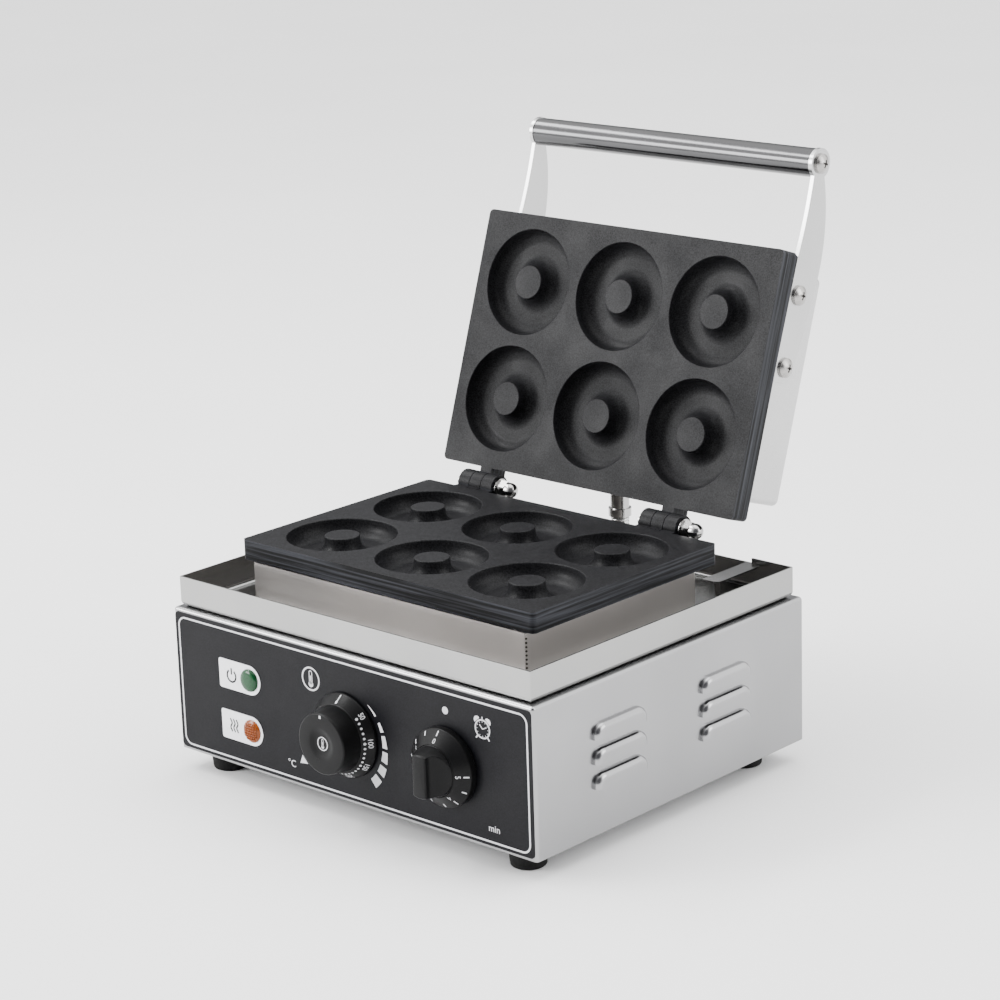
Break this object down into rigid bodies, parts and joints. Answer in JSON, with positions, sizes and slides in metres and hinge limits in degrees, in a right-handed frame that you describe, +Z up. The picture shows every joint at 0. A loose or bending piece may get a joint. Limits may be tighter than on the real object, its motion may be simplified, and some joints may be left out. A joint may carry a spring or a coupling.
{
  "type": "donut maker",
  "caption": "Countertop ring donut maker: steel housing with drip tray, heated mould plates in a hinged lid with a bar handle, thermostat and timer knobs.",
  "frame": {"origin": "middle of the whole object's box, at the table, with the lid open", "axes": "+X to the operator's right, -Y towards the operator, +Z up; the lid's hinge runs along X"},
  "size_m": [0.298, 0.3364, 0.3593],
  "materials": {
    "sheet_steel": "fine brushed stainless sheet",
    "polished_steel": "polished",
    "foot_rubber": "matt",
    "coated_casting": "dark non-stick coating with a fine grain",
    "element_steel": "dull, heat-tinted",
    "copper_tube": "drawn copper",
    "reflector_sheet": "bright sheet",
    "insulation_board": "pressed fibre board",
    "panel_black": "satin printed overlay",
    "knob_black": "satin moulded",
    "control_case": "moulded",
    "label_silver": "satin silver",
    "lens_green": "clear tinted",
    "lens_amber": "ribbed, tinted",
    "gland_black": "moulded",
    "hose_metal": "ribbed flexible tube"
  },
  "bodies": {
    "base": {"housing_shell": "sheet_steel", "bottom_plate": "sheet_steel", "rear_panel": "sheet_steel", "rear_panel_screws": "polished_steel", "foot_front_left": "foot_rubber", "foot_front_right": "foot_rubber", "foot_rear_left": "foot_rubber", "foot_rear_right": "foot_rubber", "foot_screws": "polished_steel", "drip_tray": "sheet_steel", "tray_strap_left": "sheet_steel", "tray_strap_right": "sheet_steel", "pedestal": "sheet_steel", "plate_spacers": "polished_steel", "lower_plate": "coated_casting", "hinge_bolt_left": "polished_steel", "hinge_bolt_right": "polished_steel", "hinge_washers": "polished_steel", "hinge_nuts": "polished_steel", "lower_element": "element_steel", "lower_reflector": "reflector_sheet", "lower_insulation": "insulation_board", "lower_studs": "polished_steel", "thermostat_bulb": "element_steel", "thermostat_capillary": "copper_tube", "control_panel": "panel_black", "thermostat_body": "control_case", "timer_body": "control_case", "power_label": "label_silver", "power_lens": "lens_green", "power_lamp_body": "control_case", "heat_label": "label_silver", "heat_lens": "lens_amber", "heat_lamp_body": "control_case", "terminal_block": "control_case", "mains_gland": "gland_black", "hose_gland": "gland_black", "lid_hose": "hose_metal"},
    "lid": {"upper_plate": "coated_casting", "lid_cover": "sheet_steel", "handle_arm_left": "sheet_steel", "handle_arm_right": "sheet_steel", "handle_bar": "polished_steel", "bar_plugs": "knob_black", "bar_screws": "polished_steel", "arm_screws": "polished_steel", "upper_element": "element_steel", "upper_reflector": "reflector_sheet", "upper_insulation": "insulation_board", "upper_studs": "polished_steel", "lid_nipple": "polished_steel"},
    "temperature_dial": {"temperature_knob": "knob_black", "thermostat_shaft": "polished_steel"},
    "timer_dial": {"timer_knob": "knob_black", "timer_shaft": "polished_steel"}
  },
  "joints": [
    {"name": "lid_hinge", "type": "hinge", "parent": "base", "child": "lid", "pos_m": [0, 0.06121, 0.142], "axis": [1, 0, 0], "range_deg": [0, 108.6], "deforming": ["lid_hose"]},
    {"name": "temperature_turn", "type": "hinge", "parent": "base", "child": "temperature_dial", "pos_m": [0, -0.14479, 0.054], "axis": [0, -1, 0], "range_deg": [0, 247]},
    {"name": "timer_turn", "type": "hinge", "parent": "base", "child": "timer_dial", "pos_m": [0.0795, -0.14479, 0.054], "axis": [0, 1, 0], "range_deg": [0, 270]}
  ]
}
